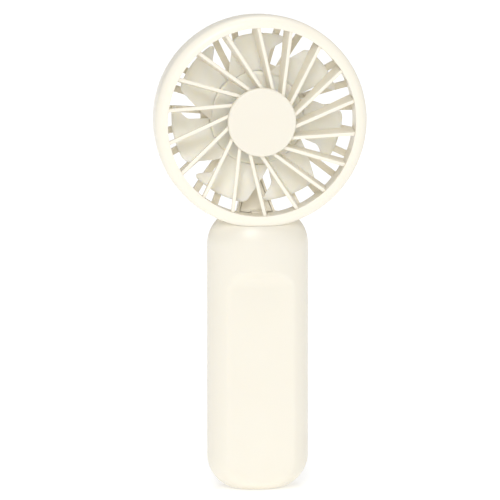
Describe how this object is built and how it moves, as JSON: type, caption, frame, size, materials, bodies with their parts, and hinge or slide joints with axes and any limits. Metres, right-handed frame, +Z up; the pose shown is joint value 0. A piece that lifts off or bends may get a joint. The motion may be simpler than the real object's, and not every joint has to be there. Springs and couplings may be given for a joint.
{
  "type": "handheld electric fan",
  "caption": "Handheld rechargeable fan: a round caged head with swept front fins around a bladed impeller, on a rounded grip with a flat front face.",
  "frame": {"origin": "centre of the flat base face at the foot of the handle", "axes": "+Z up along the handle to the head, -Y out of the front grille, +X to the right seen from the front"},
  "size_m": [0.0888, 0.0301, 0.2005],
  "materials": {
    "cream_shell": "gloss",
    "cream_blade": "satin",
    "steel": "brushed",
    "magnet": "matte",
    "bright_steel": "polished",
    "grey_plastic": "matte",
    "copper": "enamelled",
    "board": "solder mask",
    "white_plastic": "matte",
    "black_plastic": "matte",
    "ferrite": "matte",
    "ceramic": "matte",
    "led": "gloss",
    "light_guide": "clear",
    "cell_wrap": "shrink sleeve",
    "foam": "foam",
    "red_lead": "insulation",
    "black_lead": "insulation"
  },
  "bodies": {
    "frame": {"head_housing": "cream_shell", "rear_rim": "cream_shell", "rear_ribs": "cream_shell", "rear_hub": "cream_shell", "lead_arm": "cream_shell", "lead_cover": "cream_shell", "rear_cap": "cream_shell", "front_bearing": "steel", "rear_bearing": "steel", "motor_base": "grey_plastic", "stator_core": "steel", "stator_windings": "copper", "motor_board": "board", "motor_screws": "steel", "handle_front_shell": "cream_shell", "handle_rear_shell": "cream_shell", "shell_screws": "steel", "button_guide": "white_plastic", "tact_switch": "black_plastic", "main_board": "board", "board_screws": "steel", "control_chips": "black_plastic", "inductor": "ferrite", "capacitors": "ceramic", "charge_leds": "led", "light_pipes": "light_guide", "usb_c_shell": "bright_steel", "usb_c_tongue": "black_plastic", "battery_cell": "cell_wrap", "battery_terminal": "steel", "battery_tabs": "steel", "battery_pads": "foam", "battery_leads": "red_lead", "motor_leads": "black_lead"},
    "rotor": {"impeller_hub": "cream_blade", "impeller_blades": "cream_blade", "rotor_can": "steel", "rotor_magnet": "magnet", "motor_shaft": "bright_steel", "shaft_clip": "steel"},
    "grille": {"grille_rim": "cream_shell", "grille_fins": "cream_shell", "grille_hub": "cream_shell", "grille_cap": "cream_shell"},
    "button": {"power_button": "cream_shell", "tact_plunger": "black_plastic"}
  },
  "joints": [
    {"name": "impeller_spin", "type": "hinge", "parent": "frame", "child": "rotor", "pos_m": [0, 0, 0.1561], "axis": [0, -1, 0], "continuous": true},
    {"name": "grille_twist", "type": "hinge", "parent": "frame", "child": "grille", "pos_m": [0, 0, 0.1561], "axis": [0, -1, 0], "range_deg": [0, 16]},
    {"name": "button_press", "type": "slide", "parent": "frame", "child": "button", "axis": [0, -1, 0], "range_m": [0, 0.0005], "stiffness_N_per_m": 900, "springref_m": -0.0005}
  ]
}
